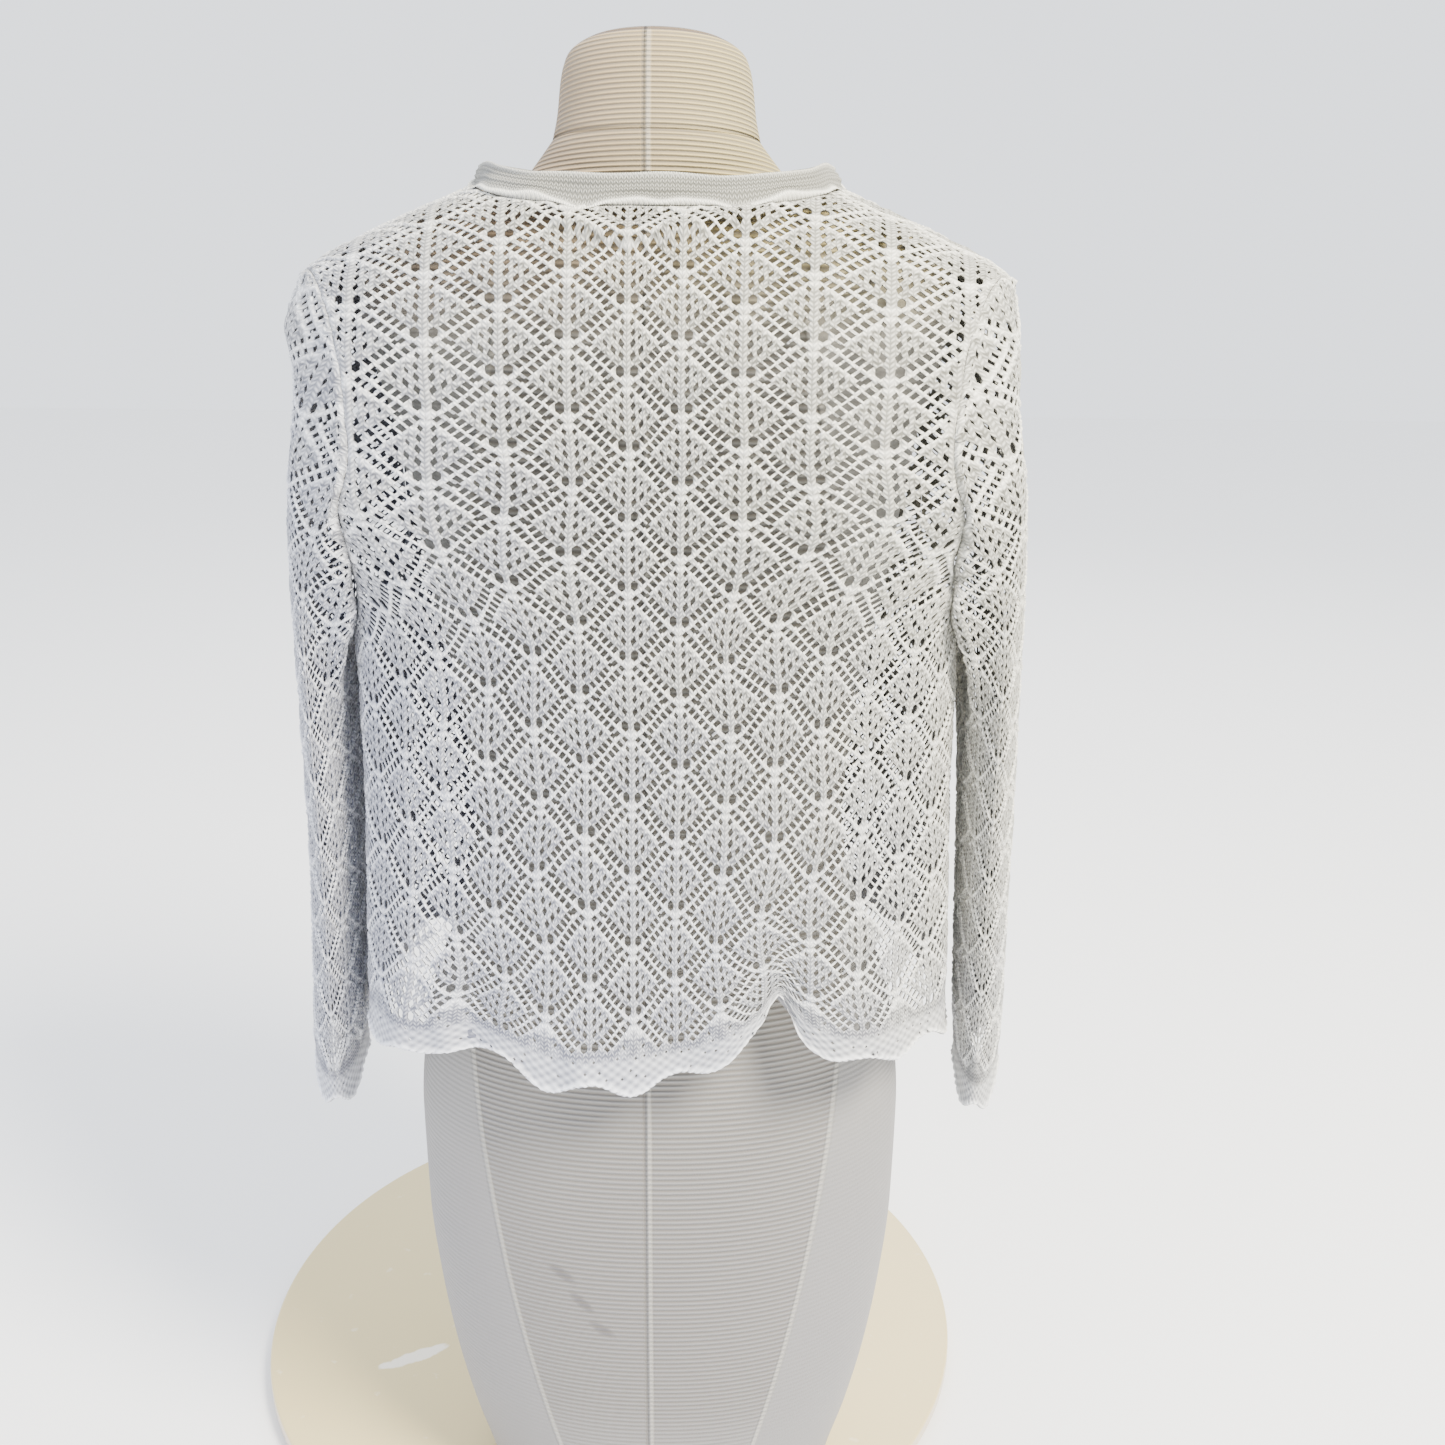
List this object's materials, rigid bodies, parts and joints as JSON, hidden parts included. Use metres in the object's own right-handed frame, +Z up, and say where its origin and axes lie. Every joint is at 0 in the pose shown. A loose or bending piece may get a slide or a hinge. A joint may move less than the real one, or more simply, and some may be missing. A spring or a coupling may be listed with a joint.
{
  "type": "lace cardigan on a dress form",
  "caption": "Hip-length hand-knitted leaf-lace cardigan with long limp sleeves and an open front, worn by a limbless dress form on a round base.",
  "frame": {"origin": "centre of the round base's underside, where the part rests on the floor", "axes": "+Z up along the dress form, +Y the way the wearer faces (the cardigan's open front), +X towards the wearer's right sleeve"},
  "size_m": [0.6, 0.6078, 1.0638],
  "materials": {
    "lace": "soft matt off-white knitted wool or cotton lace",
    "band": "soft matt off-white fine plain knit",
    "form": "matt cream ribbed jersey stretched over the form",
    "base": "satin cream paint, lightly scuffed"
  },
  "bodies": {
    "root": {"back": "lace", "front_left": "lace", "front_right": "lace", "sleeve_left": "lace", "sleeve_right": "lace", "neck_band": "band", "form_torso": "form", "form_neck": "form", "base_disc": "base"}
  },
  "joints": []
}
